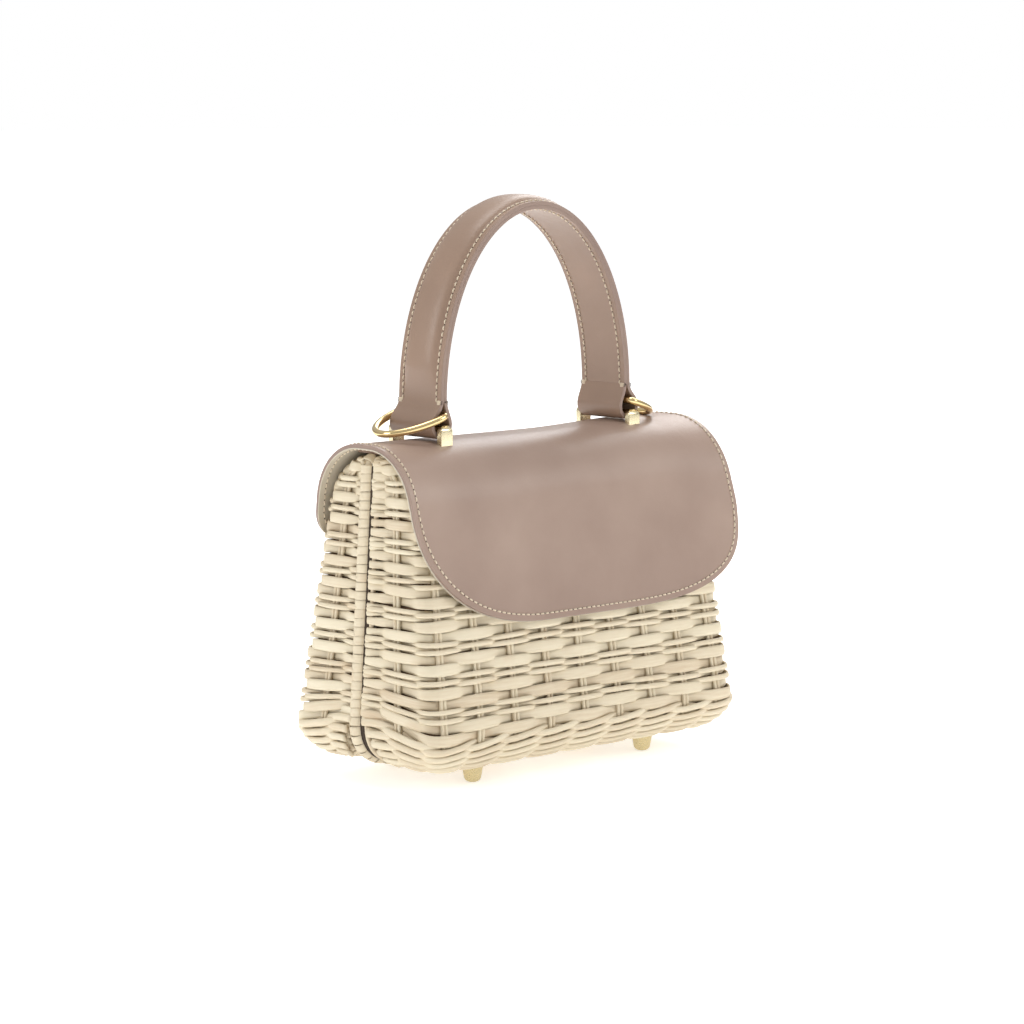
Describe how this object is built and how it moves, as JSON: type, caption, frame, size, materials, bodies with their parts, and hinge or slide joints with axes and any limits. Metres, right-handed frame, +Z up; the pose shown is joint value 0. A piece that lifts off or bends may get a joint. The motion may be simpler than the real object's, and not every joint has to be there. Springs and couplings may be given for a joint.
{
  "type": "basket box bag",
  "caption": "Upright woven cane box bag that opens as two shells, with a folded leather flap over the top, an arched leather handle, strap rings and small metal feet.",
  "frame": {"origin": "on the ground under the middle of the bag, in the plane where the two woven halves meet", "axes": "+X along the bag to its right end seen from the front, -Y to the front where the long side of the flap hangs, +Z up"},
  "size_m": [0.219, 0.1042, 0.2845],
  "materials": {
    "cane": "natural peeled cane, satin",
    "hide": "smooth leather, soft sheen",
    "handle_leather": "smooth leather, soft sheen",
    "padding": "bonded leather filler",
    "lining_cloth": "plain woven cloth",
    "stiffener": "pressed fibre board",
    "gold": "polished and plated",
    "pale_gold": "polished and plated",
    "magnet_steel": "nickel plated"
  },
  "bodies": {
    "back_half": {"basket_back": "cane", "rim_back": "cane", "lining_back": "lining_cloth", "flap_top": "hide", "top_board": "stiffener", "handle_post_front_left": "gold", "handle_post_front_right": "gold", "handle_post_back_left": "gold", "foot_back_left": "pale_gold", "hinge_leaf_back_left": "gold", "handle_post_back_right": "gold", "foot_back_right": "pale_gold", "hinge_leaf_back_right": "gold", "foot_screws_back": "gold", "hinge_rivets_back": "gold", "handle_pin_left": "gold", "hinge_pin_left": "gold", "handle_pin_right": "gold", "hinge_pin_right": "gold", "handle_outer_strap": "handle_leather", "handle_inner_strap": "handle_leather", "handle_padding": "padding", "flap_rivets": "gold"},
    "front_half": {"basket_front": "cane", "rim_front": "cane", "lining_front": "lining_cloth", "foot_front_left": "pale_gold", "foot_front_right": "pale_gold", "foot_screws_front": "gold", "hinge_leaf_front_left": "gold", "hinge_leaf_front_right": "gold", "hinge_rivets_front": "gold", "magnet_basket": "magnet_steel"},
    "flap": {"flap_front": "hide", "catch_plate_flap": "magnet_steel"},
    "d_ring_left": {"d_ring_left": "gold"},
    "d_ring_right": {"d_ring_right": "gold"}
  },
  "joints": [
    {"name": "flap_fold", "type": "hinge", "parent": "back_half", "child": "flap", "pos_m": [0, -0.0185, 0.16459], "axis": [-1, 0, 0], "range_deg": [0, 105]},
    {"name": "front_half_hinge", "type": "hinge", "parent": "back_half", "child": "front_half", "pos_m": [0, 0, 0.007], "axis": [1, 0, 0], "range_deg": [0, 21]},
    {"name": "d_ring_left_swing", "type": "hinge", "parent": "back_half", "child": "d_ring_left", "pos_m": [-0.06421, 0.0032, 0.18], "axis": [0, 1, 0], "range_deg": [0, 90]},
    {"name": "d_ring_right_swing", "type": "hinge", "parent": "back_half", "child": "d_ring_right", "pos_m": [0.06421, 0.0032, 0.18], "axis": [0, -1, 0], "range_deg": [0, 90]}
  ],
  "couplings": [
    {"joint": "front_half_hinge", "follows": "flap_fold", "ratio": 0.2}
  ]
}
